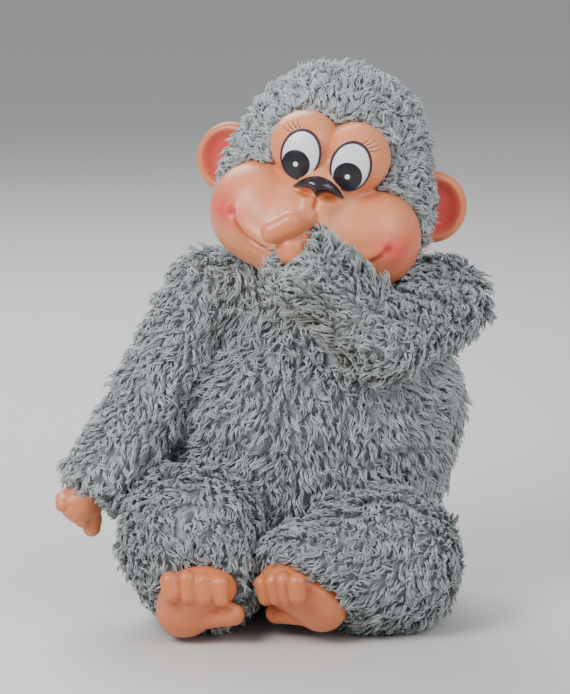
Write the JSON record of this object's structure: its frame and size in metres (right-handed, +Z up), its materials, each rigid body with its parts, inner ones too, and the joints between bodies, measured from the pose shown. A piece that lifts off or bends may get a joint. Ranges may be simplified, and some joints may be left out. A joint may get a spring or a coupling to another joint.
{
  "type": "stuffed monkey",
  "caption": "Seated plush monkey with a vinyl face, ears, hands and feet, one thumb held to its mouth, and limbs and head that turn.",
  "frame": {"origin": "middle of the seat, on the surface that it rests on", "axes": "+Z up through the head, -Y the way the toy looks, +X towards the monkey's own left"},
  "size_m": [0.2248, 0.1584, 0.2817],
  "materials": {
    "plush": "long wavy pile, grey",
    "skin_vinyl": "soft peach vinyl with a satin sheen",
    "eye": "white, with a painted black pupil and a dark rim",
    "stuffing": "loose fibre filling",
    "thread": "brown sewing cord"
  },
  "bodies": {
    "torso": {"torso_front_left_panel": "plush", "torso_front_right_panel": "plush", "torso_back_left_panel": "plush", "torso_back_right_panel": "plush", "torso_stuffing": "stuffing"},
    "neck": {"neck_plug": "plush"},
    "head": {"face_mask": "skin_vinyl", "left_eye": "eye", "right_eye": "eye", "left_ear": "skin_vinyl", "right_ear": "skin_vinyl", "hood_left_panel": "plush", "hood_right_panel": "plush", "head_stuffing": "stuffing"},
    "right_upper_arm": {"right_upper_sleeve": "plush", "right_upper_stuffing": "stuffing", "right_elbow_sleeve": "plush"},
    "right_forearm": {"right_forearm_sleeve": "plush", "right_forearm_stuffing": "stuffing", "right_wrist_tie": "thread"},
    "right_hand_body": {"right_hand": "skin_vinyl"},
    "right_leg": {"right_leg_sleeve": "plush", "right_leg_stuffing": "stuffing", "right_ankle_tie": "thread"},
    "right_foot_body": {"right_foot": "skin_vinyl"},
    "left_upper_arm": {"left_upper_sleeve": "plush", "left_upper_stuffing": "stuffing", "left_elbow_sleeve": "plush"},
    "left_forearm": {"left_forearm_sleeve": "plush", "left_forearm_stuffing": "stuffing", "left_wrist_tie": "thread"},
    "left_hand_body": {"left_hand": "skin_vinyl"},
    "left_leg": {"left_leg_sleeve": "plush", "left_leg_stuffing": "stuffing", "left_ankle_tie": "thread"},
    "left_foot_body": {"left_foot": "skin_vinyl"}
  },
  "joints": [
    {"name": "neck_turn", "type": "hinge", "parent": "torso", "child": "neck", "pos_m": [0.026, 0, 0.18], "axis": [0, 0, 1], "range_deg": [-18, 18]},
    {"name": "neck_nod", "type": "hinge", "parent": "neck", "child": "head", "pos_m": [0.026, 0, 0.18], "axis": [-1, 0, 0], "range_deg": [0, 15]},
    {"name": "right_shoulder", "type": "hinge", "parent": "torso", "child": "right_upper_arm", "pos_m": [-0.038, -0.004, 0.163], "axis": [-0.4291, 0.6387, 0.6387], "range_deg": [0, 50]},
    {"name": "right_elbow", "type": "hinge", "parent": "right_upper_arm", "child": "right_forearm", "pos_m": [-0.067, -0.02, 0.111], "axis": [-0.842, 0.212, 0.496], "range_deg": [0, 60], "deforming": ["right_elbow_sleeve"]},
    {"name": "right_wrist", "type": "hinge", "parent": "right_forearm", "child": "right_hand_body", "pos_m": [-0.097, -0.034, 0.066], "axis": [-0.6995, -0.2498, -0.6695], "range_deg": [-20, 20]},
    {"name": "right_hip", "type": "hinge", "parent": "torso", "child": "right_leg", "pos_m": [-0.04, -0.042, 0.0335], "axis": [-1, 0, 0], "range_deg": [0, 20]},
    {"name": "right_ankle", "type": "hinge", "parent": "right_leg", "child": "right_foot_body", "pos_m": [-0.042, -0.082, 0.028], "axis": [-0.02, -0.9598, -0.2799], "range_deg": [-15, 15]},
    {"name": "left_shoulder", "type": "hinge", "parent": "torso", "child": "left_upper_arm", "pos_m": [0.084, -0.01, 0.16], "axis": [0.649, -0.504, 0.57], "range_deg": [0, 60]},
    {"name": "left_elbow", "type": "hinge", "parent": "left_upper_arm", "child": "left_forearm", "pos_m": [0.05, -0.064, 0.151], "axis": [-0.7514, 0.5993, -0.2761], "range_deg": [-55, 0], "deforming": ["left_elbow_sleeve"]},
    {"name": "left_wrist", "type": "hinge", "parent": "left_forearm", "child": "left_hand_body", "pos_m": [0.009, -0.0855, 0.195], "axis": [-0.4383, -0.1992, 0.8765], "range_deg": [-10, 10]},
    {"name": "left_hip", "type": "hinge", "parent": "torso", "child": "left_leg", "pos_m": [0.044, -0.042, 0.0335], "axis": [-1, 0, 0], "range_deg": [0, 20]},
    {"name": "left_ankle", "type": "hinge", "parent": "left_leg", "child": "left_foot_body", "pos_m": [0.012, -0.083, 0.031], "axis": [-0.4508, -0.6211, -0.6411], "range_deg": [-15, 15]}
  ]
}
